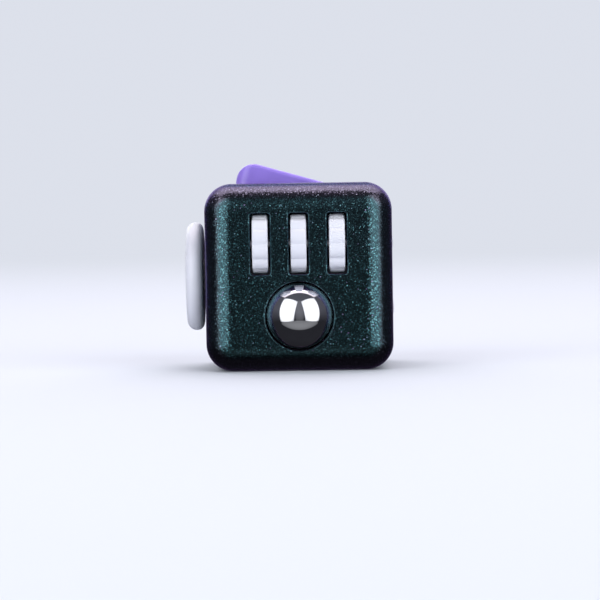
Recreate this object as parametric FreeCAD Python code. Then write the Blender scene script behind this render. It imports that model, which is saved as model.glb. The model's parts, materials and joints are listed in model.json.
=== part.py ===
import FreeCAD, Part
import math
import os

from FreeCAD import Vector

# Fidget cube, in millimetres. The origin is the centre of the underside, +Z is up,
# the rolling wheels face -Y, the spinning disc faces -X, the flip rocker is on top,
# the click buttons face +X, the thumb stick faces +Y and the thumb hollow is underneath.

X_AXIS = Vector(1, 0, 0)
Y_AXIS = Vector(0, 1, 0)
Z_AXIS = Vector(0, 0, 1)

# ---- the cube's casing
CUBE = 33.0
HALF = CUBE / 2
MID_Z = HALF
EDGE_ROUND = 4.8
WALL = 1.8
INNER_HALF = HALF - WALL
INNER_ROUND = EDGE_ROUND - WALL
SEAM_Y = 11.2
LIP_DEPTH = 1.8
LIP_WALL = 1.0
LIP_GAP = 0.1
SEAM_BEVEL = 0.15
RIM_ROUND = 0.3

# ---- corner posts, with pegs behind and screws in front
POST_OFFSET = 12.6
POST_R = 2.2
PEG_R = 1.0
REAR_POST_FRONT = 2.0
REAR_POST_BACK = 9.2
PEG_FRONT = 4.5
FRONT_POST_BACK = -9.0
SCREW_R = 0.8
SCREW_HEAD_R = 1.45
SCREW_HEAD_H = 0.9
SCREW_HEAD_ROUND = 0.3
SCREW_SOCKET_R = 0.55
SCREW_SOCKET_DEPTH = 0.5
SCREW_CLEARANCE_R = 0.9

# ---- roll face: three toothed wheels and a ball
WHEEL_R = 5.2
WHEEL_WIDTH = 2.75
WHEEL_PITCH = 6.72
WHEEL_XS = (-WHEEL_PITCH, 0.0, WHEEL_PITCH)
WHEEL_TEETH = 11
TOOTH_DEPTH = 0.4
FIRST_VALLEY = 0.0
VALLEY_ROUND = 0.2
WHEEL_EDGE = 0.3
AXLE_R = 0.8
AXLE_Y = -HALF + 2.7
AXLE_Z = MID_Z + 5.9
AXLE_HALF = 11.2
AXLE_CHAMFER = 0.2
SLOT_WIDTH = 3.4
SLOT_HALF_Z = 5.4
SLOT_CORNER = 0.5
SPRING_BACK = AXLE_Y + WHEEL_R + 0.35
SPRING_SHEET = 0.25
SPRING_HALF_X = 8.6
SPRING_LOW = AXLE_Z - 5.6
SPRING_STRIP_TOP = AXLE_Z - 4.2
SPRING_TIP = AXLE_Z + 1.5
FINGER_HALF = 0.8
RUNNING = 0.04

BALL_R = 6.0
BALL_Y = -HALF + 1.54
BALL_Z = MID_Z - 6.7
SOCKET_R = BALL_R + 0.1
CRADLE_R = 5.0
CRADLE_FRONT = -10.9
CRADLE_BACK = -7.4
SEAT_RING_R = 4.2
SEAT_RING_BORE = 2.6
SEAT_RING_BACK = -9.2
SLEEVE_WALL = 0.8
SLEEVE_FRONT = -10.6
BALL_DOME_R = 2.8
BALL_DOME_HEIGHT = 0.8
BALL_DOME_SHEET = 0.15

CARRIER_FRONT = -6.2
CARRIER_THICK = 0.8
CARRIER_HALF = 10.2
CARRIER_SIDE = 1.0
CARRIER_FIN = 1.2
CARRIER_BOTTOM = 3.1
CARRIER_TOP = 25.2
VENT_R = 1.0
FIN_HALF_Z = 2.4
FIN_NOSE_HALF_Z = 1.5
FIN_NOSE_FRONT = AXLE_Y - 0.5
FIN_NOSE_BACK = AXLE_Y + 2.0
EAR_R = 1.5
EAR_THICK = 1.2
EAR_HALF_Z = 1.2
EAR_BRACE = 4.2

# ---- spin face
DISC_R = 9.7
DISC_INNER_X = -17.1
DISC_OUTER_X = -20.1
DISC_OUTER_ROUND = 1.6
DISC_INNER_ROUND = 1.3
SPIN_POST_R = 3.2
SPIN_POST_END = -9.0
BUSHING_R = 2.0
SPIN_PIN_R = 1.2
SPIN_PIN_END = -7.4
SPIN_PIN_START = DISC_OUTER_X + 1.4
FLANGE_R = 3.0
FLANGE_THICK = 0.4
CLIP_X = -8.7
CLIP_THICK = 0.4
CLIP_R = 2.3
CLIP_BORE = 0.85
DIMPLE_R = 7.0
DIMPLE_DEPTH = 1.1
DIMPLE_OFFSET = 4.2

# ---- flip face
ROCKER_TILT = 16.0
ROCKER_END_R = 3.2
ROCKER_REACH = 8.1
ROCKER_WIDTH = 8.0
ROCKER_Z = CUBE - 1.93
ROCKER_UNDER = 1.4
ROCKER_CORNER = 2.2
ROCKER_EDGE = 0.7
CAM_R = 2.6
CAM_HALF_Y = 1.5
CAM_NOTCH_R = 0.7
CAM_NOTCH_OFFSET = CAM_R + 0.55
CAM_CLEARANCE = 0.06
ROCKER_PIN_R = 0.8
WELL_HALF_X = 11.65
WELL_HALF_Y = 4.2
WELL_WALL = 1.0
WELL_FLOOR = 26.2
WELL_CORNER = 2.3
PLUNGER_R = 1.25
PLUNGER_NOSE_R = 0.9
PLUNGER_SKIRT_BOTTOM = 23.0
PLUNGER_SKIRT_TOP = 25.4
PLUNGER_TUBE_R = 2.2
PLUNGER_TUBE_BOTTOM = 18.6
PLUNGER_TUBE_FLOOR = PLUNGER_TUBE_BOTTOM + 0.8
ROCKER_SPRING_R = 0.95
ROCKER_SPRING_WIRE_R = 0.15
ROCKER_SPRING_TURNS = 6

# ---- click face
BUTTON_OFFSET = 5.9
BUTTON_PLACES = ((0, 0), (-1, 1), (1, 1), (-1, -1), (1, -1))
BUTTON_R = 2.6
BUTTON_PROUD = 0.35
BUTTON_CROWN = 0.7
BUTTON_SHOULDER_X = INNER_HALF - 0.1
DISH_WIDTH = 0.9
DISH_DEPTH = 0.45
BUTTON_FLANGE_R = 3.1
BUTTON_FLANGE = 0.8
BUTTON_STEM_R = 1.2
BUTTON_STEM_END = 12.75
BOARD_X = 10.5
BOARD_THICK = 1.0
BOARD_HALF_Y = 9.3
BOARD_HALF_Z = 8.6
BOARD_SCREW_Y = 7.8
BOARD_SCREW_TIP = 13.4
BOARD_BOSS_R = 1.5
BOARD_CORNER = 1.5
DOME_RIM_R = 2.9
DOME_RIM_BORE = 2.35
DOME_RIM_HEIGHT = 0.4
SNAP_DOME_COUNT = 3
SNAP_DOME_R = 2.1
SNAP_DOME_HEIGHT = 0.9
SNAP_DOME_SHEET = 0.12
SOFT_DOME_BASE_R = 2.2
SOFT_DOME_TOP_R = 1.3
SOFT_DOME_HEIGHT = 0.95
SOFT_DOME_WALL = 0.45
SOFT_DOME_ROOM = 0.65

# ---- glide face: a thumb stick on a gimbal
PIVOT_Y = 8.0
DOME_R = 8.0
DOME_WALL = 1.0
DOME_ANGLE = 58.0
STICK_NECK_R = 2.0
CAP_R = 5.2
CAP_BACK = 18.6
CAP_FRONT = 21.2
RING_OUTER = 5.0
RING_INNER = 3.4
RING_THICK = 2.4
GIMBAL_PIN_R = 0.8
ARM_INNER = 6.0
ARM_OUTER = 7.2
STICK_POST_OFFSET = 6.9
STICK_POST_R = 1.6
STICK_POST_END = 4.0
PLATE_THICK = 1.2
BRACKET_R = 7.9
ARM_HALF_Z = 1.5
ARM_BACK = PIVOT_Y + 1.2
GUIDE_R = 3.5
GUIDE_BORE = 2.85
GUIDE_HEIGHT = 0.5
NECK_END = 11.4
STEM_PIN_HALF = 4.7
GIMBAL_PIN_START = 3.7
RIGHTING_R = 2.75
RIGHTING_FRONT = 4.72
RIGHTING_BACK = 5.0
STICK_SPRING_R = 2.0
STICK_SPRING_WIRE_R = 0.12
STICK_SPRING_LENGTH = 0.72
STICK_SPRING_TURNS = 2
CAP_GROOVES = 24
CAP_GROOVE_R = 0.32
CAP_GROOVE_OFFSET = CAP_R + 0.12

# ---- thumb hollow underneath
HOLLOW_HALF_X = 10.5
HOLLOW_HALF_Y = 7.5
HOLLOW_DEPTH = 2.2
HOLLOW_WALL = 1.5
HOLLOW_ROUND = 1.0


def cylinder(radius, start, end):
    """A round bar between two points on its axis."""
    length = (end - start).Length
    direction = (end - start).normalize()
    return Part.makeCylinder(radius, length, start, direction)


def tube(outer, inner, start, end):
    return cylinder(outer, start, end).cut(cylinder(inner, start, end))


def box(low, high):
    size = high - low
    return Part.makeBox(size.x, size.y, size.z, low)


def rounded_cube(half, radius):
    """A cube about the casing's middle with every edge and corner rounded."""
    low = Vector(-half, -half, MID_Z - half)
    cube = Part.makeBox(2 * half, 2 * half, 2 * half, low)
    return cube.makeFillet(radius, cube.Edges)


def revolved(points, origin, axis, across):
    """A solid turned about axis from (radius, height along axis) points."""
    corners = [origin + across * r + axis * h for r, h in points]
    face = Part.Face(Part.makePolygon(corners + corners[:1]))
    return face.revolve(origin, axis, 360)


def ellipsoid(half_x, half_y, half_z):
    stretch = FreeCAD.Matrix()
    stretch.scale(half_x, half_y, half_z)
    return Part.makeSphere(1.0).transformGeometry(stretch)


def upright_edges(shape):
    return [e for e in shape.Edges if abs(e.tangentAt(e.FirstParameter).z) > 0.99]


def fuse_all(shapes):
    return shapes[0].multiFuse(shapes[1:]).removeSplitter()


def edges_on_plane(shape, axis, value):
    """Edges that lie in the plane where the named coordinate has this value."""
    found = []
    for edge in shape.Edges:
        low = getattr(edge.BoundBox, axis + "Min")
        high = getattr(edge.BoundBox, axis + "Max")
        if abs(low - value) < 1e-4 and abs(high - value) < 1e-4:
            found.append(edge)
    return found


def screw(head_seat, tip):
    """A small socket-head screw whose head stands behind head_seat."""
    back = (head_seat - tip).normalize()
    shank = cylinder(SCREW_R, tip, head_seat)
    head_top = head_seat + back * SCREW_HEAD_H
    head = cylinder(SCREW_HEAD_R, head_seat, head_top)
    head = head.makeFillet(SCREW_HEAD_ROUND, edges_facing(head, head_top, back))
    socket = cylinder(SCREW_SOCKET_R, head_top - back * SCREW_SOCKET_DEPTH, head_top + back)
    return shank.fuse(head).cut(socket)


def edges_facing(shape, point, direction):
    """Edges of the face that lies in the plane through point across direction."""
    return [
        edge
        for edge in shape.Edges
        if all(abs((v.Point - point).dot(direction)) < 1e-4 for v in edge.Vertexes)
        and abs((edge.CenterOfMass - point).dot(direction)) < 1e-4
    ]


# ---------------------------------------------------------------- the casing

def corner_points(offset):
    """The four places on the cube's diagonals as seen from the front, all at y = 0."""
    return [
        Vector(side * offset, 0, MID_Z + up * offset)
        for side in (-1, 1)
        for up in (-1, 1)
    ]


def rocker_well(half_x, half_y, bottom, top):
    """A pit with rounded corners under the rocker's opening."""
    solid = box(Vector(-half_x, -half_y, bottom), Vector(half_x, half_y, top))
    return solid.makeFillet(WELL_CORNER, upright_edges(solid))


def hollow_solid(grow):
    """The upper half of a flat ellipsoid: the thumb hollow, or its wall when grown."""
    shape = ellipsoid(HOLLOW_HALF_X + grow, HOLLOW_HALF_Y + grow, HOLLOW_DEPTH + grow)
    return shape.common(box(Vector(-HALF, -HALF, 0), Vector(HALF, HALF, HALF)))


def wheel_slot(x):
    """The window in the front wall that one wheel stands out of."""
    half = SLOT_WIDTH / 2
    window = box(
        Vector(x - half, -HALF - 1, AXLE_Z - SLOT_HALF_Z),
        Vector(x + half, -INNER_HALF + 1, AXLE_Z + SLOT_HALF_Z),
    )
    through = [e for e in window.Edges if abs(e.tangentAt(e.FirstParameter).y) > 0.99]
    return window.makeFillet(SLOT_CORNER, through)


def casing():
    """Both casing pieces in one: the rounded cube with its walls."""
    outer = rounded_cube(HALF, EDGE_ROUND)
    return outer.cut(rounded_cube(INNER_HALF, INNER_ROUND))


def inside_features():
    """Posts, the spinner's bearing post and the rocker's well, joined to the walls."""
    parts = []
    for centre in corner_points(POST_OFFSET):
        front = Vector(centre.x, -INNER_HALF - 0.2, centre.z)
        parts.append(cylinder(POST_R, front, Vector(centre.x, FRONT_POST_BACK, centre.z)))
        rear = Vector(centre.x, REAR_POST_FRONT, centre.z)
        parts.append(cylinder(POST_R, rear, Vector(centre.x, REAR_POST_BACK, centre.z)))
    wall_x = INNER_HALF + 0.2
    parts.append(cylinder(SPIN_POST_R, Vector(-wall_x, 0, MID_Z), Vector(SPIN_POST_END, 0, MID_Z)))
    for side in (-1, 1):
        start = Vector(wall_x, side * BOARD_SCREW_Y, MID_Z)
        end = Vector(BOARD_X + BOARD_THICK, side * BOARD_SCREW_Y, MID_Z)
        parts.append(cylinder(BOARD_BOSS_R, start, end))
    parts.append(rocker_well(
        WELL_HALF_X + WELL_WALL, WELL_HALF_Y + WELL_WALL, WELL_FLOOR - WELL_WALL, CUBE - 0.6
    ))
    parts.append(cylinder(
        PLUNGER_TUBE_R, Vector(0, 0, PLUNGER_TUBE_BOTTOM), Vector(0, 0, WELL_FLOOR - 0.5)
    ))
    parts.append(hollow_solid(HOLLOW_WALL))
    return parts


def body_cutters():
    """Everything that is open in the body shell."""
    cutters = [wheel_slot(x) for x in WHEEL_XS]
    ball_centre = Vector(0, BALL_Y, BALL_Z)
    cutters.append(Part.makeSphere(SOCKET_R, ball_centre))
    cutters.append(cylinder(SOCKET_R, ball_centre, Vector(0, -INNER_HALF + 0.3, BALL_Z)))
    for centre in corner_points(POST_OFFSET):
        tip = Vector(centre.x, -INNER_HALF + 0.6, centre.z)
        cutters.append(cylinder(SCREW_R, tip, Vector(centre.x, FRONT_POST_BACK + 0.1, centre.z)))
        peg = Vector(centre.x, PEG_FRONT - 0.3, centre.z)
        cutters.append(cylinder(PEG_R, peg, Vector(centre.x, REAR_POST_BACK + 0.1, centre.z)))
    cutters.append(cylinder(
        BUSHING_R, Vector(-HALF - 0.1, 0, MID_Z), Vector(SPIN_POST_END + 0.1, 0, MID_Z)
    ))
    cutters.append(rocker_well(WELL_HALF_X, WELL_HALF_Y, WELL_FLOOR, CUBE + 1))
    cutters.append(cylinder(
        ROCKER_PIN_R, Vector(0, -WELL_HALF_Y - 2, ROCKER_Z), Vector(0, WELL_HALF_Y + 2, ROCKER_Z)
    ))
    cutters.append(cylinder(
        PLUNGER_R + RUNNING, Vector(0, 0, PLUNGER_TUBE_FLOOR), Vector(0, 0, WELL_FLOOR + 0.1)
    ))
    for place in BUTTON_PLACES:
        cutters.append(button_hole(place))
    for side in (-1, 1):
        tip = Vector(BOARD_SCREW_TIP + 0.3, side * BOARD_SCREW_Y, MID_Z)
        cutters.append(cylinder(SCREW_R, Vector(BOARD_X, tip.y, MID_Z), tip))
    cutters.append(hollow_solid(0.0))
    return cutters


def button_hole(place):
    """A guide bore with a shallow finger dish around it."""
    y, z = button_centre(place)
    bore_r = BUTTON_R + RUNNING
    dish_r = bore_r + DISH_WIDTH
    dish = [(0, 0.2), (dish_r, 0.2), (dish_r, 0.02), (bore_r + 0.25, -DISH_DEPTH), (0, -DISH_DEPTH)]
    cutter = revolved(dish, Vector(HALF, y, z), X_AXIS, Z_AXIS)
    bore = cylinder(bore_r, Vector(INNER_HALF - 0.5, y, z), Vector(HALF + 0.5, y, z))
    return cutter.fuse(bore)


def button_centre(place):
    return place[0] * BUTTON_OFFSET, MID_Z + place[1] * BUTTON_OFFSET


def body_shell():
    front_half = box(Vector(-HALF, -HALF, 0), Vector(HALF, SEAM_Y, CUBE))
    rounded = rounded_cube(HALF, EDGE_ROUND)
    inside = fuse_all(inside_features()).common(rounded)
    shell = casing().common(front_half).fuse(inside)
    shell = shell.cut(fuse_cutters(body_cutters())).removeSplitter()
    front_rims = [e for e in edges_on_plane(shell, "Y", -HALF) if rim_edge(e)]
    shell = shell.makeFillet(RIM_ROUND, front_rims)
    well_rim = rims_within(edges_on_plane(shell, "Z", CUBE), WELL_HALF_X, WELL_HALF_Y)
    shell = shell.makeFillet(RIM_ROUND, well_rim)
    hollow_rim = rims_within(edges_on_plane(shell, "Z", 0), HOLLOW_HALF_X, HOLLOW_HALF_Y)
    shell = shell.makeFillet(HOLLOW_ROUND, hollow_rim)
    return shell.makeChamfer(SEAM_BEVEL, seam_edges(shell))


def fuse_cutters(cutters):
    return cutters[0].multiFuse(cutters[1:])


def rim_edge(edge):
    """Whether an edge of the front face belongs to an opening, not to the face's border."""
    flat_half = HALF - EDGE_ROUND
    box_of = edge.BoundBox
    return box_of.XMax < flat_half - 0.05 and box_of.XMin > -flat_half + 0.05


def seam_edges(shape):
    """The outer border of the seam between the two casing pieces."""
    return [
        e
        for e in edges_on_plane(shape, "Y", SEAM_Y)
        if any(max(abs(v.X), abs(v.Z - MID_Z)) > HALF - 0.01 for v in e.Vertexes)
    ]


def rims_within(edges, half_x, half_y):
    """The edges that stay inside a rectangle about the Z axis."""
    slack = 0.05
    return [
        e
        for e in edges
        if max(-e.BoundBox.XMin, e.BoundBox.XMax) < half_x + slack
        and max(-e.BoundBox.YMin, e.BoundBox.YMax) < half_y + slack
    ]


def rear_cover():
    """The back of the casing, with its lip, pegs and the thumb stick's bezel."""
    back_half = box(Vector(-HALF, SEAM_Y, 0), Vector(HALF, HALF, CUBE))
    cover = casing().common(back_half)
    cover = cover.makeChamfer(SEAM_BEVEL, seam_edges(cover))
    lip_outer = rounded_cube(INNER_HALF - LIP_GAP, INNER_ROUND)
    lip_inner = rounded_cube(INNER_HALF - LIP_GAP - LIP_WALL, INNER_ROUND - LIP_WALL)
    band = box(Vector(-HALF, SEAM_Y - LIP_DEPTH, 0), Vector(HALF, SEAM_Y, CUBE))
    lip = lip_outer.cut(lip_inner).common(band)
    backing = lip_outer.cut(lip_inner).common(box(
        Vector(-HALF, SEAM_Y, 0), Vector(HALF, INNER_HALF, CUBE)
    ))
    parts = [cover, lip, backing]
    for centre in corner_points(POST_OFFSET):
        root = Vector(centre.x, INNER_HALF + 0.2, centre.z)
        parts.append(cylinder(PEG_R, Vector(centre.x, PEG_FRONT, centre.z), root))
        shoulder = Vector(centre.x, REAR_POST_BACK + 0.1, centre.z)
        parts.append(cylinder(POST_R - 0.5, shoulder, root))
    for centre in corner_points(STICK_POST_OFFSET):
        start = Vector(centre.x, STICK_POST_END, centre.z)
        parts.append(cylinder(STICK_POST_R, start, Vector(centre.x, INNER_HALF + 0.2, centre.z)))
    solid = fuse_all(parts).common(rounded_cube(HALF, EDGE_ROUND))
    pivot = Vector(0, PIVOT_Y, MID_Z)
    solid = solid.cut(Part.makeSphere(DOME_R + 0.3, pivot))
    flare = [(0, 6.4), (4.9, 6.4), (5.0, 7.2), (6.6, 8.5), (6.6, 9.0), (0, 9.0)]
    solid = solid.cut(revolved(flare, pivot, Y_AXIS, X_AXIS))
    for centre in corner_points(STICK_POST_OFFSET):
        start = Vector(centre.x, STICK_POST_END - 0.1, centre.z)
        solid = solid.cut(cylinder(SCREW_R, start, Vector(centre.x, STICK_POST_END + 4.5, centre.z)))
    return solid


# ---------------------------------------------------------------- roll face

def wheel_outline(x):
    """Rounded lobes that meet in shallow valleys, drawn across the axle."""
    def rim_point(radius, degrees):
        angle = math.radians(degrees)
        return Vector(x, AXLE_Y - radius * math.cos(angle), AXLE_Z + radius * math.sin(angle))

    pitch = 360 / WHEEL_TEETH
    arcs = []
    for tooth in range(WHEEL_TEETH):
        start = FIRST_VALLEY + tooth * pitch
        low, crest, high = start, start + pitch / 2, start + pitch
        valley_r = WHEEL_R - TOOTH_DEPTH
        arcs.append(Part.Arc(
            rim_point(valley_r, low), rim_point(WHEEL_R, crest), rim_point(valley_r, high)
        ).toShape())
    return Part.Face(Part.Wire(arcs))


def toothed_wheel(x):
    """A wheel with broad rounded lobes and softened edges."""
    half = WHEEL_WIDTH / 2
    wheel = wheel_outline(x - half).extrude(X_AXIS * WHEEL_WIDTH)
    valleys = [e for e in wheel.Edges if abs(e.tangentAt(e.FirstParameter).x) > 0.99]
    wheel = wheel.makeFillet(VALLEY_ROUND, valleys)
    sides = edges_on_plane(wheel, "X", x - half) + edges_on_plane(wheel, "X", x + half)
    wheel = wheel.makeFillet(WHEEL_EDGE, sides)
    bore = cylinder(AXLE_R + RUNNING, Vector(x - half, AXLE_Y, AXLE_Z), Vector(x + half, AXLE_Y, AXLE_Z))
    return wheel.cut(bore)


def gear_axle():
    axle = cylinder(AXLE_R, Vector(-AXLE_HALF, AXLE_Y, AXLE_Z), Vector(AXLE_HALF, AXLE_Y, AXLE_Z))
    ends = edges_on_plane(axle, "X", -AXLE_HALF) + edges_on_plane(axle, "X", AXLE_HALF)
    return axle.makeChamfer(AXLE_CHAMFER, ends)


def carrier_fin(x_low, x_high):
    """An upright with a nose that the axle snaps into from the front."""
    upright = box(
        Vector(x_low, FIN_NOSE_BACK, AXLE_Z - FIN_HALF_Z),
        Vector(x_high, CARRIER_FRONT, AXLE_Z + FIN_HALF_Z),
    )
    nose = box(
        Vector(x_low, FIN_NOSE_FRONT, AXLE_Z - FIN_NOSE_HALF_Z),
        Vector(x_high, FIN_NOSE_BACK, AXLE_Z + FIN_NOSE_HALF_Z),
    )
    return upright.fuse(nose)


def roll_carrier():
    """The moulding that holds the wheels' axle and guides the ball's cradle."""
    plate = box(
        Vector(-CARRIER_HALF, CARRIER_FRONT, CARRIER_BOTTOM),
        Vector(CARRIER_HALF, CARRIER_FRONT + CARRIER_THICK, CARRIER_TOP),
    )
    parts = [plate]
    for side in (-1, 1):
        inner, outer = side * (CARRIER_HALF - CARRIER_SIDE), side * CARRIER_HALF
        parts.append(carrier_fin(min(inner, outer), max(inner, outer)))
        middle = side * WHEEL_PITCH / 2
        parts.append(carrier_fin(middle - CARRIER_FIN / 2, middle + CARRIER_FIN / 2))
    sleeve_r = CRADLE_R + RUNNING + SLEEVE_WALL
    parts.append(cylinder(
        sleeve_r, Vector(0, SLEEVE_FRONT, BALL_Z), Vector(0, CARRIER_FRONT + 0.1, BALL_Z)
    ))
    parts.append(box(
        Vector(-SPRING_HALF_X, SPRING_BACK, SPRING_LOW), Vector(SPRING_HALF_X, CARRIER_FRONT, SPRING_STRIP_TOP)
    ))
    ear_back = FRONT_POST_BACK + EAR_THICK
    for centre in corner_points(POST_OFFSET):
        tab_start = Vector(centre.x, FRONT_POST_BACK, centre.z)
        parts.append(cylinder(EAR_R, tab_start, Vector(centre.x, ear_back, centre.z)))
        side = math.copysign(1, centre.x)
        edge_x = side * (CARRIER_HALF - CARRIER_SIDE)
        low_z, high_z = sorted((centre.z, centre.z + math.copysign(EAR_BRACE, MID_Z - centre.z)))
        parts.append(box(
            Vector(min(edge_x, centre.x), FRONT_POST_BACK, centre.z - EAR_HALF_Z),
            Vector(max(edge_x, centre.x), ear_back, centre.z + EAR_HALF_Z),
        ))
        parts.append(box(
            Vector(min(edge_x, side * CARRIER_HALF), FRONT_POST_BACK, low_z - EAR_HALF_Z),
            Vector(max(edge_x, side * CARRIER_HALF), CARRIER_FRONT + CARRIER_THICK, high_z),
        ))
    solid = fuse_all(parts)
    cutters = [
        cylinder(CRADLE_R + RUNNING, Vector(0, SLEEVE_FRONT - 0.1, BALL_Z), Vector(0, CARRIER_FRONT, BALL_Z)),
        cylinder(AXLE_R, Vector(-HALF, AXLE_Y, AXLE_Z), Vector(HALF, AXLE_Y, AXLE_Z)),
        cylinder(VENT_R, Vector(0, CARRIER_FRONT - 1, BALL_Z), Vector(0, CARRIER_FRONT + 2, BALL_Z)),
    ]
    for centre in corner_points(POST_OFFSET):
        start = Vector(centre.x, FRONT_POST_BACK - 0.1, centre.z)
        cutters.append(cylinder(SCREW_CLEARANCE_R, start, Vector(centre.x, ear_back + 0.1, centre.z)))
    return solid.cut(fuse_cutters(cutters))


def carrier_screws():
    ear_back = FRONT_POST_BACK + EAR_THICK
    return [
        screw(Vector(p.x, ear_back, p.z), Vector(p.x, -INNER_HALF + 1.0, p.z))
        for p in corner_points(POST_OFFSET)
    ]


def wheel_spring():
    """A steel comb on the carrier's rail, with one finger just behind each wheel."""
    front = SPRING_BACK - SPRING_SHEET
    parts = [box(
        Vector(-SPRING_HALF_X, front, SPRING_LOW), Vector(SPRING_HALF_X, SPRING_BACK, SPRING_STRIP_TOP)
    )]
    for x in WHEEL_XS:
        parts.append(box(
            Vector(x - FINGER_HALF, front, SPRING_STRIP_TOP - 0.1),
            Vector(x + FINGER_HALF, SPRING_BACK, SPRING_TIP),
        ))
    return fuse_all(parts)


def ball_cradle():
    """A cup that slides in the carrier's sleeve and carries the ball's seat ring."""
    cup = cylinder(CRADLE_R, Vector(0, CRADLE_FRONT, BALL_Z), Vector(0, CRADLE_BACK, BALL_Z))
    cup = cup.makeFillet(0.3, edges_on_plane(cup, "Y", CRADLE_BACK))
    pocket = cylinder(
        SEAT_RING_R + RUNNING, Vector(0, CRADLE_FRONT - 0.1, BALL_Z), Vector(0, SEAT_RING_BACK + 0.05, BALL_Z)
    )
    room = Part.makeSphere(BALL_R + 0.25, Vector(0, BALL_Y, BALL_Z))
    return cup.cut(pocket).cut(room)


def ball_seat_ring():
    """A nylon ring, shaped to the ball, that turns in the cradle."""
    ring = tube(
        SEAT_RING_R, SEAT_RING_BORE, Vector(0, CRADLE_FRONT, BALL_Z), Vector(0, SEAT_RING_BACK, BALL_Z)
    )
    return ring.cut(Part.makeSphere(BALL_R + 0.08, Vector(0, BALL_Y, BALL_Z)))


def roll_ball():
    return Part.makeSphere(BALL_R, Vector(0, BALL_Y, BALL_Z))


def snap_dome(base, direction, radius, height, thick):
    """A thin round dome that stands on base and bulges along direction."""
    sphere_r = (radius ** 2 + height ** 2) / (2 * height)
    centre = base + direction * (height - sphere_r)
    outer = Part.makeSphere(sphere_r, centre)
    inner = Part.makeSphere(sphere_r - thick, centre)
    slab = cylinder(radius * 1.5, base, base + direction * (height + 1))
    return outer.cut(inner).common(slab)


# ---------------------------------------------------------------- spin face

def spin_disc():
    """The weighted disc, with a rounded rim and one finger dimple."""
    disc = cylinder(DISC_R, Vector(DISC_INNER_X, 0, MID_Z), Vector(DISC_OUTER_X, 0, MID_Z))
    disc = disc.makeFillet(DISC_OUTER_ROUND, edges_on_plane(disc, "X", DISC_OUTER_X))
    disc = disc.makeFillet(DISC_INNER_ROUND, edges_on_plane(disc, "X", DISC_INNER_X))
    dimple_x = DISC_OUTER_X + DIMPLE_DEPTH - DIMPLE_R
    disc = disc.cut(Part.makeSphere(DIMPLE_R, Vector(dimple_x, 0, MID_Z + DIMPLE_OFFSET)))
    hub = cylinder(
        FLANGE_R, Vector(DISC_INNER_X + 0.12, 0, MID_Z), Vector(DISC_INNER_X - 0.5, 0, MID_Z)
    )
    bore = cylinder(SPIN_PIN_R, Vector(SPIN_PIN_START, 0, MID_Z), Vector(-HALF, 0, MID_Z))
    return disc.fuse(hub).cut(bore)


def spin_pin():
    pin = cylinder(SPIN_PIN_R, Vector(SPIN_PIN_START, 0, MID_Z), Vector(SPIN_PIN_END, 0, MID_Z))
    pin = pin.makeChamfer(0.25, edges_on_plane(pin, "X", SPIN_PIN_END))
    groove = tube(
        BUSHING_R, CLIP_BORE, Vector(CLIP_X - 0.05, 0, MID_Z), Vector(CLIP_X + CLIP_THICK + 0.05, 0, MID_Z)
    )
    return pin.cut(groove)


def spin_clip():
    """A retaining ring with a slot, snapped into the pin's groove."""
    ring = tube(CLIP_R, CLIP_BORE, Vector(CLIP_X, 0, MID_Z), Vector(CLIP_X + CLIP_THICK, 0, MID_Z))
    mouth = box(Vector(CLIP_X - 1, -0.6, MID_Z - CLIP_R), Vector(CLIP_X + 1, 0.6, MID_Z))
    return ring.cut(mouth)


def spin_bushing():
    sleeve = cylinder(BUSHING_R, Vector(-HALF, 0, MID_Z), Vector(SPIN_POST_END, 0, MID_Z))
    flange = cylinder(FLANGE_R, Vector(-HALF - FLANGE_THICK, 0, MID_Z), Vector(-HALF, 0, MID_Z))
    bore = cylinder(SPIN_PIN_R + RUNNING, Vector(-18, 0, MID_Z), Vector(-8, 0, MID_Z))
    return sleeve.fuse(flange).cut(bore)


# ---------------------------------------------------------------- flip face

def flip_rocker():
    """A pill-shaped bar, tipped with its left end up, with a cam under its pivot."""
    half_width = ROCKER_WIDTH / 2
    slab = box(
        Vector(-ROCKER_REACH, -half_width, ROCKER_Z - ROCKER_UNDER),
        Vector(ROCKER_REACH, half_width, ROCKER_Z + ROCKER_END_R),
    )
    ends = []
    for side in (-1, 1):
        x = side * ROCKER_REACH
        ends.append(cylinder(
            ROCKER_END_R, Vector(x, -half_width, ROCKER_Z), Vector(x, half_width, ROCKER_Z)
        ))
    bar = fuse_all([slab] + ends)
    reach = ROCKER_REACH + ROCKER_END_R
    outline = box(
        Vector(-reach, -half_width, ROCKER_Z - ROCKER_UNDER),
        Vector(reach, half_width, ROCKER_Z + ROCKER_END_R),
    )
    bar = bar.common(outline.makeFillet(ROCKER_CORNER, upright_edges(outline)))
    rounded = [e for e in bar.Edges if e.BoundBox.ZMax > ROCKER_Z + 0.5]
    bar = bar.makeFillet(ROCKER_EDGE, rounded)
    cam = cylinder(CAM_R, Vector(0, -CAM_HALF_Y, ROCKER_Z), Vector(0, CAM_HALF_Y, ROCKER_Z))
    bar = bar.fuse(cam)
    for side in (-1, 1):
        angle = math.radians(-90 + side * ROCKER_TILT)
        notch = Vector(
            CAM_NOTCH_OFFSET * math.cos(angle), 0, ROCKER_Z + CAM_NOTCH_OFFSET * math.sin(angle)
        )
        bar = bar.cut(cylinder(CAM_NOTCH_R, notch - Y_AXIS * CAM_HALF_Y, notch + Y_AXIS * CAM_HALF_Y))
    pin_room = ROCKER_PIN_R + RUNNING
    bar = bar.cut(cylinder(
        pin_room, Vector(0, -half_width - 1, ROCKER_Z), Vector(0, half_width + 1, ROCKER_Z)
    ))
    bar.rotate(Vector(0, 0, ROCKER_Z), Y_AXIS, ROCKER_TILT)
    return bar


def rocker_pin():
    reach = WELL_HALF_Y + WELL_WALL
    return cylinder(ROCKER_PIN_R, Vector(0, -reach, ROCKER_Z), Vector(0, reach, ROCKER_Z))


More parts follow.
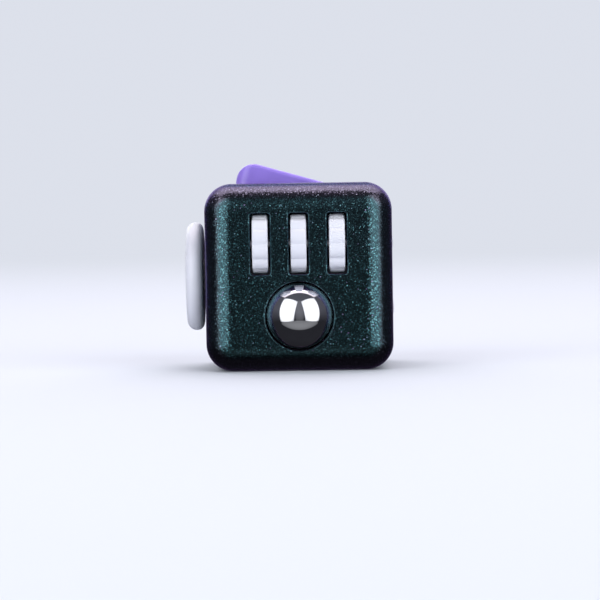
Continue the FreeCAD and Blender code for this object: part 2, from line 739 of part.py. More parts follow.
def rocker_plunger():
    """A round-nosed plunger that presses up on the rocker's cam."""
    nose_centre = Vector(0, 0, ROCKER_Z - CAM_R - CAM_CLEARANCE - PLUNGER_NOSE_R)
    skirt_top = Vector(0, 0, PLUNGER_SKIRT_TOP)
    stem = cylinder(PLUNGER_NOSE_R, skirt_top - Z_AXIS * 0.5, nose_centre)
    nose = Part.makeSphere(PLUNGER_NOSE_R, nose_centre)
    skirt = cylinder(PLUNGER_R, Vector(0, 0, PLUNGER_SKIRT_BOTTOM), skirt_top)
    return fuse_all([stem, nose, skirt])


def coil_spring(base, direction, mid_r, wire_r, length, turns):
    """A closed helix of round wire that stands on base and runs along direction."""
    pitch = (length - 2 * wire_r) / turns
    path = Part.Wire(Part.makeHelix(pitch, length - 2 * wire_r, mid_r).Edges)
    section = Part.Wire([Part.Edge(Part.Circle(Vector(mid_r, 0, 0), Y_AXIS, wire_r))])
    coil = path.makePipeShell([section], True, True)
    coil.translate(Vector(0, 0, wire_r))
    coil.Placement = FreeCAD.Placement(base, FreeCAD.Rotation(Z_AXIS, direction)).multiply(coil.Placement)
    return coil


# ---------------------------------------------------------------- click face

def click_button(place):
    """A domed button with a guide flange and a stem behind it."""
    y, z = button_centre(place)
    dome_r = (BUTTON_R ** 2 + BUTTON_CROWN ** 2) / (2 * BUTTON_CROWN)
    top_x = HALF + BUTTON_PROUD
    shoulder = Vector(BUTTON_SHOULDER_X, y, z)
    head = cylinder(BUTTON_R, shoulder, Vector(top_x, y, z))
    crown = Part.makeSphere(dome_r, Vector(top_x - dome_r, y, z))
    below_crown = cylinder(BUTTON_R, Vector(BOARD_X, y, z), Vector(top_x - BUTTON_CROWN, y, z))
    head = head.common(crown.fuse(below_crown))
    flange = cylinder(BUTTON_FLANGE_R, shoulder - X_AXIS * BUTTON_FLANGE, shoulder)
    stem = cylinder(BUTTON_STEM_R, Vector(BUTTON_STEM_END, y, z), shoulder)
    return fuse_all([head, flange, stem])


def click_board():
    """The plate that backs the five switches, with a rim around each dome."""
    board_front = BOARD_X + BOARD_THICK
    board = box(
        Vector(BOARD_X, -BOARD_HALF_Y, MID_Z - BOARD_HALF_Z),
        Vector(board_front, BOARD_HALF_Y, MID_Z + BOARD_HALF_Z),
    )
    upright = [e for e in board.Edges if abs(e.tangentAt(e.FirstParameter).x) > 0.9]
    board = board.makeFillet(BOARD_CORNER, upright)
    for place in BUTTON_PLACES:
        y, z = button_centre(place)
        rim_base = Vector(board_front, y, z)
        board = board.fuse(tube(DOME_RIM_R, DOME_RIM_BORE, rim_base, rim_base + X_AXIS * DOME_RIM_HEIGHT))
    for side in (-1, 1):
        y = side * BOARD_SCREW_Y
        board = board.cut(cylinder(
            SCREW_CLEARANCE_R, Vector(BOARD_X - 1, y, MID_Z), Vector(board_front + 1, y, MID_Z)
        ))
    return board


def click_screws():
    return [
        screw(
            Vector(BOARD_X, side * BOARD_SCREW_Y, MID_Z),
            Vector(BOARD_SCREW_TIP, side * BOARD_SCREW_Y, MID_Z),
        )
        for side in (-1, 1)
    ]


def rubber_dome(base, direction):
    """A silicone cup spring for a silent button."""
    base_room, top_room = SOFT_DOME_BASE_R - SOFT_DOME_WALL, SOFT_DOME_TOP_R - SOFT_DOME_WALL
    outer = Part.makeCone(SOFT_DOME_BASE_R, SOFT_DOME_TOP_R, SOFT_DOME_HEIGHT, base, direction)
    room = Part.makeCone(base_room, top_room, SOFT_DOME_ROOM, base, direction)
    return outer.cut(room)


# ---------------------------------------------------------------- glide face

def pivot_point(x=0.0, y=0.0, z=0.0):
    return Vector(x, PIVOT_Y + y, MID_Z + z)


def stick_stem():
    """The stick's neck, hub and foot, with the round skirt that fills the bezel."""
    pivot = pivot_point()
    profile = [
        (0, -2.6), (1.2, -2.6), (1.5, -2.3), (1.5, -1.6), (2.4, -1.2), (2.4, 1.4),
        (1.8, 2.0), (1.8, 7.2), (STICK_NECK_R, 7.6), (STICK_NECK_R, NECK_END), (0, NECK_END),
    ]
    neck = revolved(profile, pivot, Y_AXIS, X_AXIS)
    skirt_floor = DOME_R * math.cos(math.radians(DOME_ANGLE))
    keep = box(pivot_point(-9, skirt_floor, -9), pivot_point(9, 9, 9))
    outer = Part.makeSphere(DOME_R, pivot)
    skirt = outer.cut(Part.makeSphere(DOME_R - DOME_WALL, pivot)).common(keep)
    bore = cylinder(GIMBAL_PIN_R + RUNNING, pivot_point(0, 0, -4), pivot_point(0, 0, 4))
    return neck.fuse(skirt).cut(bore)


def stick_cap():
    """The thumb pad: a grooved rim around a shallow dish."""
    base = Vector(0, 0, MID_Z)
    profile = [
        (0, CAP_BACK), (CAP_R - 1.3, CAP_BACK), (CAP_R, CAP_BACK + 0.9), (CAP_R, CAP_FRONT - 0.5),
        (CAP_R - 0.5, CAP_FRONT), (CAP_R - 1.1, CAP_FRONT), (CAP_R - 1.9, CAP_FRONT - 0.55),
        (CAP_R - 3.2, CAP_FRONT - 0.8), (0, CAP_FRONT - 0.9),
    ]
    cap = revolved(profile, base, Y_AXIS, X_AXIS)
    grooves = []
    for number in range(CAP_GROOVES):
        angle = 2 * math.pi * number / CAP_GROOVES
        x, z = CAP_GROOVE_OFFSET * math.cos(angle), MID_Z + CAP_GROOVE_OFFSET * math.sin(angle)
        grooves.append(cylinder(CAP_GROOVE_R, Vector(x, CAP_BACK - 1, z), Vector(x, CAP_FRONT + 1, z)))
    socket = cylinder(STICK_NECK_R, Vector(0, CAP_BACK - 0.1, MID_Z), pivot_point(y=NECK_END))
    return cap.cut(fuse_cutters(grooves)).cut(socket)


def stick_gimbal():
    half = RING_THICK / 2
    ring = tube(RING_OUTER, RING_INNER, pivot_point(0, -half), pivot_point(0, half))
    side_bore = cylinder(GIMBAL_PIN_R + RUNNING, pivot_point(-6), pivot_point(6))
    cross_bore = cylinder(GIMBAL_PIN_R, pivot_point(0, 0, -6), pivot_point(0, 0, 6))
    return ring.cut(side_bore).cut(cross_bore)


def stem_pin():
    return cylinder(GIMBAL_PIN_R, pivot_point(z=-STEM_PIN_HALF), pivot_point(z=STEM_PIN_HALF))


def gimbal_pins():
    return [
        cylinder(GIMBAL_PIN_R, pivot_point(side * GIMBAL_PIN_START), pivot_point(side * ARM_OUTER))
        for side in (-1, 1)
    ]


def stick_housing():
    """The bracket behind the bezel, with two arms for the gimbal's pins."""
    low, high = STICK_POST_END - PLATE_THICK, STICK_POST_END
    plate = cylinder(BRACKET_R, Vector(0, low, MID_Z), Vector(0, high, MID_Z))
    parts = [plate]
    for p in corner_points(STICK_POST_OFFSET):
        parts.append(cylinder(STICK_POST_R, Vector(p.x, low, p.z), Vector(p.x, high, p.z)))
        side_x, side_z = math.copysign(1, p.x), math.copysign(1, p.z - MID_Z)
        parts.append(box(
            Vector(min(p.x, p.x - side_x * 4), low, min(p.z, p.z - side_z * 4)),
            Vector(max(p.x, p.x - side_x * 4), high, max(p.z, p.z - side_z * 4)),
        ))
    for side in (-1, 1):
        inner, outer = sorted((side * ARM_INNER, side * ARM_OUTER))
        parts.append(box(
            Vector(inner, high - 0.1, MID_Z - ARM_HALF_Z), Vector(outer, ARM_BACK, MID_Z + ARM_HALF_Z)
        ))
    guide = tube(GUIDE_R, GUIDE_BORE, Vector(0, high - 0.1, MID_Z), Vector(0, high + GUIDE_HEIGHT, MID_Z))
    parts.append(guide)
    solid = fuse_all(parts)
    solid = solid.cut(cylinder(GIMBAL_PIN_R, pivot_point(-8), pivot_point(8)))
    for p in corner_points(STICK_POST_OFFSET):
        solid = solid.cut(cylinder(
            SCREW_CLEARANCE_R, Vector(p.x, low - 0.1, p.z), Vector(p.x, high + 0.1, p.z)
        ))
    return solid


def housing_screws():
    low = STICK_POST_END - PLATE_THICK
    return [
        screw(Vector(p.x, low, p.z), Vector(p.x, STICK_POST_END + 4.0, p.z))
        for p in corner_points(STICK_POST_OFFSET)
    ]


def centering_plate():
    """The sprung washer that pushes on the stick's foot and rights it."""
    return cylinder(RIGHTING_R, Vector(0, RIGHTING_FRONT, MID_Z), Vector(0, RIGHTING_BACK, MID_Z))


def save(name, shape):
    """Write one node, as a single solid or as a group of separate solids."""
    solids = shape if isinstance(shape, list) else [shape]
    body = solids[0] if len(solids) == 1 else Part.makeCompound(solids)
    loose = len(body.Solids)
    if not body.isValid() or loose != len(solids):
        print("PROBLEM", name, "valid", body.isValid(), "solids", loose, "expected", len(solids))
    body.exportStep("parts/" + name + ".step")


def main():
    os.makedirs("parts", exist_ok=True)
    save("body_shell", body_shell())
    save("rear_cover", rear_cover())

    for name, x in zip(("left", "middle", "right"), WHEEL_XS):
        save("roll_wheel_" + name, toothed_wheel(x))
    save("gear_axle", gear_axle())
    save("roll_carrier", roll_carrier())
    save("carrier_screws", carrier_screws())
    save("wheel_spring", wheel_spring())
    save("roll_ball", roll_ball())
    save("ball_seat_ring", ball_seat_ring())
    save("ball_cradle", ball_cradle())
    save("ball_dome", snap_dome(
        Vector(0, CARRIER_FRONT, BALL_Z), -Y_AXIS, BALL_DOME_R, BALL_DOME_HEIGHT, BALL_DOME_SHEET
    ))

    save("spin_disc", spin_disc())
    save("spin_pin", spin_pin())
    save("spin_clip", spin_clip())
    save("spin_bushing", spin_bushing())

    save("flip_rocker", flip_rocker())
    save("rocker_pin", rocker_pin())
    save("rocker_plunger", rocker_plunger())
    save("rocker_spring", coil_spring(
        Vector(0, 0, PLUNGER_TUBE_FLOOR), Z_AXIS, ROCKER_SPRING_R, ROCKER_SPRING_WIRE_R,
        PLUNGER_SKIRT_BOTTOM - PLUNGER_TUBE_FLOOR, ROCKER_SPRING_TURNS,
    ))

    save("click_board", click_board())
    save("click_screws", click_screws())
    for number, place in enumerate(BUTTON_PLACES, 1):
        save("click_button_%d" % number, click_button(place))
        y, z = button_centre(place)
        dome_base = Vector(BOARD_X + BOARD_THICK, y, z)
        if number <= SNAP_DOME_COUNT:
            save("snap_dome_%d" % number, snap_dome(
                dome_base, X_AXIS, SNAP_DOME_R, SNAP_DOME_HEIGHT, SNAP_DOME_SHEET
            ))
        else:
            save("soft_dome_%d" % number, rubber_dome(dome_base, X_AXIS))

    save("stick_cap", stick_cap())
    save("stick_stem", stick_stem())
    save("stick_gimbal", stick_gimbal())
    save("stem_pin", stem_pin())
    save("gimbal_pins", gimbal_pins())
    save("stick_housing", stick_housing())
    save("housing_screws", housing_screws())
    save("centering_plate", centering_plate())
    save("stick_spring", coil_spring(
        Vector(0, STICK_POST_END, MID_Z), Y_AXIS, STICK_SPRING_R, STICK_SPRING_WIRE_R,
        STICK_SPRING_LENGTH, STICK_SPRING_TURNS,
    ))


main()
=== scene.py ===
import json
import math

import bmesh
import bpy
from mathutils import Matrix, Vector


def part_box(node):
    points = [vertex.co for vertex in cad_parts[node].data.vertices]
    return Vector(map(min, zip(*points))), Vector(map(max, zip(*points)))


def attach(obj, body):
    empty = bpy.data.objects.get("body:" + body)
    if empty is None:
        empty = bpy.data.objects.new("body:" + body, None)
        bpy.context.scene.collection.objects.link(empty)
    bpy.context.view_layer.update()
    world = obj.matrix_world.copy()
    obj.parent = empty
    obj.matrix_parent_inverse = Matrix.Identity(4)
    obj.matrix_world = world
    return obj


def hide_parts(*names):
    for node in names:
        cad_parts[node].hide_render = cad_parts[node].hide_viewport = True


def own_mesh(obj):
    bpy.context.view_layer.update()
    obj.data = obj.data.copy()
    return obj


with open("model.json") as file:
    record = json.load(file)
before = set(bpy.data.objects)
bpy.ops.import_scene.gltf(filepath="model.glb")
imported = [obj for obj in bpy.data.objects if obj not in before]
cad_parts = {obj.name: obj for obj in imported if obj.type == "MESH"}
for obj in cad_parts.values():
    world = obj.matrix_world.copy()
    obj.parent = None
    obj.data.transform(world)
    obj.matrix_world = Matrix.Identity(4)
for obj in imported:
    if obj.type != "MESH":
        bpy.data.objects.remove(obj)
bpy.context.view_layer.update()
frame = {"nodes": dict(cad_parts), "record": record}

MM = 0.001

# The casing's own box gives the cube's size and middle.
shell_low, shell_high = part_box("body_shell")
CUBE = shell_high.z - shell_low.z
CENTRE = Vector((0, 0, CUBE / 2))
SLOTS = {row["node"]: row["material_slot"] for row in frame["record"]["subparts"]}


# ---------------------------------------------------------------- node helpers

class Shader:
    """A material with one Principled shader and short ways to add nodes."""

    def __init__(self, name):
        self.material = bpy.data.materials.new(name)
        self.material.use_nodes = True
        self.tree = self.material.node_tree
        self.bsdf = self.tree.nodes["Principled BSDF"]
        self.place = self.node("ShaderNodeTexCoord").outputs["Object"]

    def node(self, kind, **settings):
        made = self.tree.nodes.new(kind)
        for key, value in settings.items():
            setattr(made, key, value)
        return made

    def set(self, **values):
        for key, value in values.items():
            self.bsdf.inputs[key.replace("_", " ")].default_value = value

    def link(self, source, target):
        self.tree.links.new(source, target)

    def feed(self, source, socket):
        self.link(source, self.bsdf.inputs[socket])

    def noise(self, scale, detail=3.0, place=None):
        made = self.node("ShaderNodeTexNoise")
        made.inputs["Scale"].default_value = scale
        made.inputs["Detail"].default_value = detail
        self.link(place or self.place, made.inputs["Vector"])
        return made.outputs["Fac"]

    def cells(self, scale):
        made = self.node("ShaderNodeTexVoronoi")
        made.inputs["Scale"].default_value = scale
        self.link(self.place, made.inputs["Vector"])
        return made

    def stretched(self, x, y, z):
        """Object coordinates scaled by axis, for streaks and brush lines."""
        made = self.node("ShaderNodeMapping")
        made.inputs["Scale"].default_value = (x, y, z)
        self.link(self.place, made.inputs["Vector"])
        return made.outputs["Vector"]

    def ramp(self, source, stops):
        """A colour ramp from (position, colour) stops."""
        made = self.node("ShaderNodeValToRGB")
        elements = made.color_ramp.elements
        while len(elements) < len(stops):
            elements.new(1.0)
        for element, (position, colour) in zip(elements, stops):
            element.position = position
            element.color = (*colour, 1.0)
        self.link(source, made.inputs["Fac"])
        return made.outputs["Color"]

    def mapped(self, source, start, end, shape="LINEAR"):
        """source carried from the range start to the range end, and held at its ends."""
        made = self.node("ShaderNodeMapRange", interpolation_type=shape)
        made.inputs["From Min"].default_value, made.inputs["From Max"].default_value = start
        made.inputs["To Min"].default_value, made.inputs["To Max"].default_value = end
        self.link(source, made.inputs["Value"])
        return made.outputs["Result"]

    def number(self, operation, first, second):
        """Two numbers joined by a math operation."""
        made = self.node("ShaderNodeMath", operation=operation)
        self.link(first, made.inputs[0])
        self.link(second, made.inputs[1])
        return made.outputs["Value"]

    def vector(self, operation, source, constant=None):
        """A vector operation on source and, where it takes one, a constant."""
        made = self.node("ShaderNodeVectorMath", operation=operation)
        self.link(source, made.inputs[0])
        if constant:
            made.inputs[1].default_value = constant
        return made.outputs["Vector"]

    def mixed(self, factor, first, second):
        made = self.node("ShaderNodeMixShader")
        self.link(factor, made.inputs["Fac"])
        self.link(first, made.inputs[1])
        self.link(second, made.inputs[2])
        return made.outputs["Shader"]

    def bump(self, source, strength, distance):
        made = self.node("ShaderNodeBump")
        made.inputs["Strength"].default_value = strength
        made.inputs["Distance"].default_value = distance
        self.link(source, made.inputs["Height"])
        return made.outputs["Normal"]

    def scattered_normal(self, colour, tilt):
        """The surface normal tipped differently in each flake, from the least tilt in most to the largest."""
        split = self.node("ShaderNodeSeparateXYZ")
        self.link(colour, split.inputs[0])
        scaled = self.node("ShaderNodeVectorMath", operation="SCALE")
        self.link(self.mapped(split.outputs["Z"], TIPPED_FLAKES, tilt), scaled.inputs["Scale"])
        self.link(self.vector("SUBTRACT", colour, MID_COLOUR), scaled.inputs[0])
        added = self.node("ShaderNodeVectorMath", operation="ADD")
        self.link(self.node("ShaderNodeNewGeometry").outputs["Normal"], added.inputs[0])
        self.link(scaled.outputs["Vector"], added.inputs[1])
        return self.vector("NORMALIZE", added.outputs["Vector"])


# ---------------------------------------------------------------- materials

FLAKES_PER_METRE = 5800
MID_COLOUR = (0.5, 0.5, 0.5)
# Flakes whose third random number is above the first of these tip further than the rest.
TIPPED_FLAKES = (0.6, 1.0)
FLAKE_TILT = (0.10, 0.40)

# Places of the colour sockets on a Mix node, which has one set for each type of data.
COLOUR_A = 6
COLOUR_B = 7
COLOUR_OUT = 2

# The casing's edge rounding, and how the painted violet follows it: partly the paint's colour shift, and
# partly a painted reflection of the overhead light, full on the level edges and a share on the upright ones.
EDGE_ROUND = 4.8 * MM
INNER_SIDE = (0.0, 0.1 * MM, 0.0)
EDGE_START = 0.93
EDGE_MIDDLE = 0.80
EDGE_WEIGHTS = (0.95, 1.0, 0.95)
LEVEL_EDGE = 0.5
UPRIGHT_SHARE = 0.3


def painted_sheen_mask(paint):
    """Mask of the painted violet reflection: 0 on a flat side of the cube, rising along its rounded edges, to
    1 on the level ones.
    """
    flat = CUBE / 2 - EDGE_ROUND
    direction = paint.place
    for operation, constant in [
        ("SUBTRACT", CENTRE), ("ABSOLUTE", None), ("SUBTRACT", (flat, flat, flat)),
        ("MAXIMUM", INNER_SIDE), ("NORMALIZE", None), ("MULTIPLY", EDGE_WEIGHTS),
    ]:
        direction = paint.vector(operation, direction, constant)
    split = paint.node("ShaderNodeSeparateXYZ")
    paint.link(direction, split.inputs[0])
    x, y, z = split.outputs
    overall = paint.number("MAXIMUM", paint.number("MAXIMUM", x, y), z)
    edge = paint.mapped(overall, (EDGE_START, EDGE_MIDDLE), (0.0, 1.0), "SMOOTHSTEP")
    # The level edges take the full painted violet reflection, the upright ones only UPRIGHT_SHARE of it.
    level = paint.mapped(z, (0.0, LEVEL_EDGE), (UPRIGHT_SHARE, 1.0), "SMOOTHSTEP")
    return paint.number("MULTIPLY", edge, level)


def flake_paint():
    """Near-black teal lacquer with tipped flakes under a clear coat, with violet painted along the edges:
    partly the paint's colour shift, partly a painted reflection of the overhead light.
    """
    paint = Shader("teal_flake_paint")
    flakes = paint.cells(FLAKES_PER_METRE)
    teal = paint.ramp(flakes.outputs["Color"], [
        (0.0, (0.010, 0.026, 0.032)),
        (0.50, (0.018, 0.048, 0.058)),
        (0.75, (0.046, 0.118, 0.136)),
        (0.90, (0.115, 0.262, 0.288)),
        (0.97, (0.160, 0.120, 0.240)),
    ])
    # Violet for the rounded edges: the paint's colour shift, placed by position as a painted reflection of
    # the overhead light.
    violet = paint.ramp(flakes.outputs["Color"], [
        (0.0, (0.058, 0.052, 0.072)),
        (0.50, (0.092, 0.084, 0.116)),
        (0.80, (0.140, 0.132, 0.180)),
        (0.95, (0.240, 0.240, 0.290)),
    ])
    mix = paint.node("ShaderNodeMix", data_type="RGBA")
    paint.link(painted_sheen_mask(paint), mix.inputs["Factor"])
    paint.link(teal, mix.inputs[COLOUR_A])
    paint.link(violet, mix.inputs[COLOUR_B])
    paint.feed(mix.outputs[COLOUR_OUT], "Base Color")
    paint.feed(paint.scattered_normal(flakes.outputs["Color"], FLAKE_TILT), "Normal")
    paint.set(
        Metallic=1.0, Roughness=0.18, Specular_Tint=(0.3, 0.25, 0.5, 1.0),
        Coat_Weight=0.3, Coat_Roughness=0.2, Coat_IOR=1.5,
        Sheen_Weight=0.20, Sheen_Roughness=0.3, Sheen_Tint=(0.75, 0.50, 1.0, 1.0),
    )
    return paint.material


# Noise scales, in cycles per metre.
FLOW_MARKS = 260.0
GLOSS_PATCHES = 1400.0
MOULD_GRAIN = 5200.0
RUBBER_MOTTLE = 900.0
RUBBER_CELLS = 4200.0
POLISH_HAZE = 300.0
TURNING_LINES = 1800.0

# How far the roughness of plastic wanders, and how dark the lines on steel are.
GLOSS_SPREAD = 0.06
LINE_SHADE = 0.7


def moulded_plastic(name, base, shade, roughness, streaks=(1.0, 1.0, 1.0)):
    """Injection-moulded plastic: faint flow marks, a fine grain and a little depth."""
    plastic = Shader(name)
    flow = plastic.noise(FLOW_MARKS, 4.0, place=plastic.stretched(*streaks))
    plastic.feed(plastic.ramp(flow, [(0.35, shade), (0.65, base)]), "Base Color")
    gloss = (roughness - GLOSS_SPREAD, roughness + GLOSS_SPREAD)
    plastic.feed(plastic.mapped(plastic.noise(GLOSS_PATCHES), (0.0, 1.0), gloss), "Roughness")
    plastic.feed(plastic.bump(plastic.noise(MOULD_GRAIN, 2.0), 0.12, 0.02 * MM), "Normal")
    plastic.set(
        Subsurface_Weight=0.12, Subsurface_Radius=(0.9, 0.9, 1.0), Subsurface_Scale=0.6 * MM,
        Coat_Weight=0.15, Coat_Roughness=0.2,
    )
    return plastic.material


def soft_rubber(name, base, shade):
    """Matt rubber with a pebbled skin."""
    rubber = Shader(name)
    rubber.feed(rubber.ramp(rubber.noise(RUBBER_MOTTLE, 5.0), [(0.3, shade), (0.7, base)]), "Base Color")
    rubber.feed(rubber.bump(rubber.cells(RUBBER_CELLS).outputs["Distance"], 0.25, 0.04 * MM), "Normal")
    rubber.set(Roughness=0.62, Sheen_Weight=0.25, Sheen_Roughness=0.4)
    return rubber.material


def polished_chrome():
    """A bearing ball: near-mirror, with faint polishing haze."""
    chrome = Shader("polished_chrome")
    haze = chrome.noise(POLISH_HAZE, 6.0)
    chrome.feed(chrome.mapped(haze, (0.0, 1.0), (0.02, 0.07)), "Roughness")
    chrome.feed(chrome.ramp(haze, [(0.3, (0.66, 0.66, 0.69)), (0.7, (0.76, 0.76, 0.79))]), "Base Color")
    chrome.set(Metallic=1.0, Specular_Tint=(0.50, 0.34, 0.32, 1.0))
    return chrome.material


def ground_steel(name, base, roughness, streaks):
    """Turned or drawn steel with fine lines across its length."""
    steel = Shader(name)
    lines = steel.noise(TURNING_LINES, place=steel.stretched(*streaks))
    shade = tuple(LINE_SHADE * part for part in base)
    steel.feed(steel.ramp(lines, [(0.3, shade), (0.7, base)]), "Base Color")
    steel.feed(steel.mapped(lines, (0.0, 1.0), (roughness - 0.08, roughness + 0.1)), "Roughness")
    steel.feed(steel.bump(lines, 0.15, 0.01 * MM), "Normal")
    steel.set(Metallic=1.0)
    return steel.material


def make_materials():
    """One finished material for each of the record's slots."""
    return {
        "case_paint": flake_paint(),
        "white_plastic": moulded_plastic(
            "white_moulded_plastic", (0.75, 0.76, 0.82), (0.72, 0.73, 0.80), 0.34, (1.0, 0.12, 0.12)
        ),
        "purple_plastic": moulded_plastic(
            "violet_moulded_plastic", (0.34, 0.23, 0.80), (0.30, 0.20, 0.74), 0.30
        ),
        "purple_rubber": soft_rubber("violet_soft_rubber", (0.20, 0.13, 0.55), (0.15, 0.10, 0.46)),
        "chrome_ball": polished_chrome(),
        "steel": ground_steel("ground_steel", (0.62, 0.62, 0.64), 0.28, (1.0, 6.0, 6.0)),
        "spring_steel": ground_steel("spring_steel", (0.52, 0.52, 0.55), 0.32, (5.0, 5.0, 1.0)),
        "nylon": moulded_plastic("natural_nylon", (0.78, 0.77, 0.70), (0.70, 0.69, 0.62), 0.5),
        "silicone": soft_rubber("grey_silicone", (0.55, 0.56, 0.58), (0.48, 0.49, 0.51)),
        "inner_plastic": moulded_plastic(
            "black_moulded_plastic", (0.045, 0.045, 0.05), (0.03, 0.03, 0.035), 0.5
        ),
    }


def slot_materials(materials):
    """Give each CAD node the finished material of its slot."""
    for name, node in frame["nodes"].items():
        node.data.materials.clear()
        node.data.materials.append(materials[SLOTS[name]])


# ---------------------------------------------------------------- pieces

def mesh_piece(name, builder, material, body, replaced):
    """A mesh made by builder(bm), which stands for a CAD node and rides on its body."""
    mesh = bpy.data.meshes.new(name)
    bm = bmesh.new()
    builder(bm)
    bm.to_mesh(mesh)
    bm.free()
    for face in mesh.polygons:
        face.use_smooth = True
    piece = bpy.data.objects.new(name, mesh)
    bpy.context.scene.collection.objects.link(piece)
    mesh.materials.append(material)
    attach(piece, body)
    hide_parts(replaced)


def smooth_ball(materials):
    """The bearing ball as an even, finely divided sphere."""
    low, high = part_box("roll_ball")
    middle = (low + high) / 2
    radius = (high.z - low.z) / 2

    def build(bm):
        bmesh.ops.create_icosphere(
            bm, subdivisions=6, radius=radius, matrix=Matrix.Translation(middle)
        )

    mesh_piece("bearing_ball", build, materials["chrome_ball"], "ball", "roll_ball")


# Each dome or spring, its joint, the way it is pressed, and the share of its height it keeps.
PRESSED = [
    ("snap_dome_1", "button_1_press", (-1, 0, 0), 0.38),
    ("snap_dome_2", "button_2_press", (-1, 0, 0), 0.38),
    ("snap_dome_3", "button_3_press", (-1, 0, 0), 0.38),
    ("soft_dome_4", "button_4_press", (-1, 0, 0), 0.36),
    ("soft_dome_5", "button_5_press", (-1, 0, 0), 0.36),
    ("ball_dome", "ball_press", (0, 1, 0), 0.49),
    ("rocker_spring", "plunger_travel", (0, 0, -1), 0.885),
    ("stick_spring", "righting_plate_travel", (0, -1, 0), 0.715),
]


def pressed_piece(name, joint, axis, keep):
    """A copy of a dome or spring's mesh that rides on the housing in place of its CAD node."""
    node = frame["nodes"][name]
    piece = bpy.data.objects.new(name + "_pressed", node.data.copy())
    bpy.context.scene.collection.objects.link(piece)
    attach(piece, "housing")
    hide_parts(name)
    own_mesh(piece)


# ---------------------------------------------------------------- stage

CAMERA_DISTANCE = 500 * MM
CAMERA_HEIGHT = 32.2 * MM
AIM = Vector((0.12, 0, 11.9)) * MM
# The frame is VIEW_WIDTH wide at VIEW_WIDTH_DISTANCE from the camera.
VIEW_WIDTH = 105.6 * MM
VIEW_WIDTH_DISTANCE = 488.3 * MM
ROLL = math.radians(-0.9)


def make_camera():
    """Level with the top of the cube and square to its front face."""
    data = bpy.data.cameras.new("camera")
    camera = bpy.data.objects.new("camera", data)
    bpy.context.scene.collection.objects.link(camera)
    camera.location = (0, -CAMERA_DISTANCE, CAMERA_HEIGHT)
    turn = (AIM - camera.location).to_track_quat("-Z", "Y")
    camera.rotation_mode = "QUATERNION"
    camera.rotation_quaternion = turn @ Matrix.Rotation(ROLL, 4, "Z").to_quaternion()
    data.lens = data.sensor_width / 2 / (VIEW_WIDTH / 2 / VIEW_WIDTH_DISTANCE)
    data.clip_start = 10 * MM
    data.clip_end = 20.0
    bpy.context.scene.camera = camera


# Share of a panel over which it dims to each side, and how bright it is at the very edge.
SOFT_EDGE = 0.3
EDGE_GLOW = 0.06


def softbox(name, azimuth, elevation, distance, width, height, radiance, colour):
    """A flat light with soft edges that faces the cube. Azimuth 0 is in front and 90 is to the right."""
    data = bpy.data.lights.new(name, "AREA")
    data.shape = "RECTANGLE"
    data.size = width
    data.size_y = height
    data.energy = radiance * math.pi * width * height
    data.color = colour
    data.use_nodes = True
    tree = data.node_tree
    fall_off(tree, tree.nodes["Emission"].inputs["Strength"])
    light = bpy.data.objects.new(name, data)
    bpy.context.scene.collection.objects.link(light)
    a, e = math.radians(azimuth), math.radians(elevation)
    away = Vector((math.sin(a) * math.cos(e), -math.cos(a) * math.cos(e), math.sin(e)))
    light.location = CENTRE + away * distance
    light.rotation_mode = "QUATERNION"
    light.rotation_quaternion = away.to_track_quat("Z", "Y")
    light.visible_camera = False


def fall_off(tree, strength):
    """Light that dims towards the four edges of a panel, as through a diffuser."""
    split = tree.nodes.new("ShaderNodeSeparateXYZ")
    tree.links.new(tree.nodes.new("ShaderNodeNewGeometry").outputs["Parametric"], split.inputs[0])
    sides = []
    for axis in ("X", "Y"):
        side = tree.nodes.new("ShaderNodeFloatCurve")
        points = side.mapping.curves[0].points
        points[0].location = (0.0, EDGE_GLOW)
        points[1].location = (1.0, EDGE_GLOW)
        points.new(SOFT_EDGE, 1.0)
        points.new(1.0 - SOFT_EDGE, 1.0)
        side.mapping.update()
        tree.links.new(split.outputs[axis], side.inputs["Value"])
        sides.append(side.outputs["Value"])
    product = tree.nodes.new("ShaderNodeMath")
    product.operation = "MULTIPLY"
    tree.links.new(sides[0], product.inputs[0])
    tree.links.new(sides[1], product.inputs[1])
    tree.links.new(product.outputs["Value"], strength)


def across(distance, half_angle):
    """Width of a panel that spans half_angle degrees to each side at a distance."""
    return 2 * distance * math.tan(math.radians(half_angle))


COOL = (0.95, 0.97, 1.0)
LILAC = (1.0, 0.92, 0.99)
NEAR = 0.9
SIDE = across(NEAR, 27.5)
TALL = across(NEAR, 36)

# Each light's name, azimuth, elevation, distance, width, height, radiance and colour.
LIGHTS = [
    ("front_left_softbox", -43.5, 19, NEAR, SIDE, TALL, 2.2, COOL),
    ("front_right_softbox", 43.5, 19, NEAR, SIDE, TALL, 2.2, COOL),
    ("front_middle_fill", 0, 17, NEAR, across(NEAR, 15), TALL, 0.10, COOL),
    ("front_low_fill", 0, -31, NEAR, across(NEAR, 60), across(NEAR, 16), 0.25, COOL),
    ("overhead_softbox", 180, 70, 1.1, 2.0, 1.1, 2.2, LILAC),
    ("backdrop_glow", 180, 24, 1.5, 2.6, 1.3, 1.1, COOL),
    ("back_left_fill", -155, 25, 1.2, 0.6, 0.9, 0.5, COOL),
    ("back_right_fill", 155, 25, 1.2, 0.6, 0.9, 0.5, COOL),
]


# The backdrop and floor, the surround's strength up and down, and where the floor fades, in metres.
BACKDROP = (0.72, 0.75, 0.83, 1.0)
FLOOR = (0.70, 0.74, 0.79, 1.0)
ROOM_ABOVE = 0.13
ROOM_BELOW = 0.032
FADE_START = 0.12
FADE_END = 0.9
FLOOR_HALF = 3.0
HORIZON = 0.25
ROOM_COLOUR = (0.80, 0.82, 1.0, 1.0)


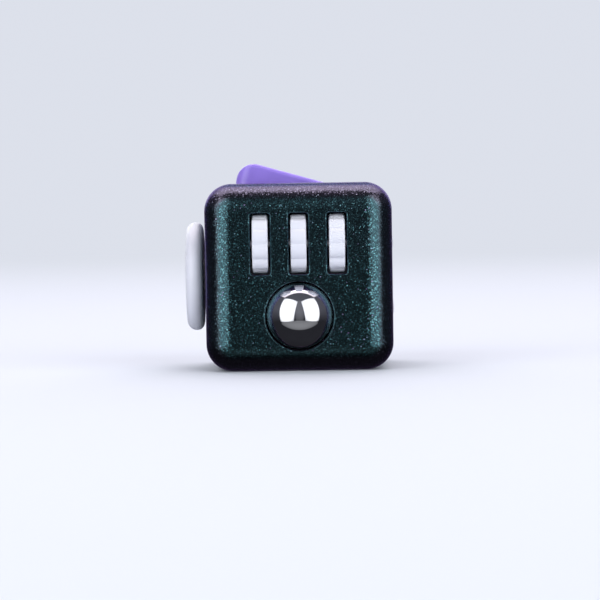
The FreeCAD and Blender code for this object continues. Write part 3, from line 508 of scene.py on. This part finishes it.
def make_world():
    """A pale backdrop to the camera, and a dim even surround for everything else."""
    world = bpy.data.worlds.new("studio")
    bpy.context.scene.world = world
    world.use_nodes = True
    tree = world.node_tree
    tree.nodes.clear()
    seen = tree.nodes.new("ShaderNodeBackground")
    seen.inputs["Color"].default_value = BACKDROP
    dim = tree.nodes.new("ShaderNodeBackground")
    dim.inputs["Color"].default_value = ROOM_COLOUR
    up = tree.nodes.new("ShaderNodeSeparateXYZ")
    tree.links.new(tree.nodes.new("ShaderNodeTexCoord").outputs["Generated"], up.inputs[0])
    room = tree.nodes.new("ShaderNodeMapRange")
    room.inputs["From Min"].default_value = -HORIZON
    room.inputs["From Max"].default_value = HORIZON
    room.inputs["To Min"].default_value = ROOM_BELOW
    room.inputs["To Max"].default_value = ROOM_ABOVE
    tree.links.new(up.outputs["Z"], room.inputs["Value"])
    tree.links.new(room.outputs["Result"], dim.inputs["Strength"])
    mix = tree.nodes.new("ShaderNodeMixShader")
    rays = tree.nodes.new("ShaderNodeLightPath")
    output = tree.nodes.new("ShaderNodeOutputWorld")
    tree.links.new(rays.outputs["Is Camera Ray"], mix.inputs["Fac"])
    tree.links.new(dim.outputs["Background"], mix.inputs[1])
    tree.links.new(seen.outputs["Background"], mix.inputs[2])
    tree.links.new(mix.outputs["Shader"], output.inputs["Surface"])


def floor_material():
    """Pale card that fades into the backdrop, clear to reflections and from below."""
    pale = Shader("pale_floor")
    pale.set(Base_Color=FLOOR, Roughness=0.8, Specular_IOR_Level=0.1)
    rays = pale.node("ShaderNodeLightPath")
    far = pale.node("ShaderNodeEmission")
    far.inputs["Color"].default_value = BACKDROP
    length = pale.node("ShaderNodeVectorMath", operation="LENGTH")
    pale.link(pale.place, length.inputs[0])
    fade = pale.mapped(length.outputs["Value"], (FADE_START, FADE_END), (0.0, 1.0), "SMOOTHSTEP")
    seen = pale.number("MULTIPLY", fade, rays.outputs["Is Camera Ray"])
    card = pale.mixed(seen, pale.bsdf.outputs["BSDF"], far.outputs["Emission"])
    clear = pale.node("ShaderNodeBsdfTransparent")
    below = pale.node("ShaderNodeNewGeometry").outputs["Backfacing"]
    hidden = pale.number("MAXIMUM", rays.outputs["Is Glossy Ray"], below)
    floor = pale.mixed(hidden, card, clear.outputs["BSDF"])
    pale.link(floor, pale.tree.nodes["Material Output"].inputs["Surface"])
    return pale.material


def make_floor():
    half = FLOOR_HALF
    corners = [(-half, -half, 0), (half, -half, 0), (half, half, 0), (-half, half, 0)]
    mesh = bpy.data.meshes.new("floor")
    mesh.from_pydata(corners, [], [(0, 1, 2, 3)])
    floor = bpy.data.objects.new("floor", mesh)
    bpy.context.scene.collection.objects.link(floor)
    mesh.materials.append(floor_material())


def main():
    bpy.context.scene.view_settings.view_transform = "Standard"
    materials = make_materials()
    slot_materials(materials)
    smooth_ball(materials)
    for row in PRESSED:
        pressed_piece(*row)
    make_camera()
    for row in LIGHTS:
        softbox(*row)
    make_world()
    make_floor()


main()
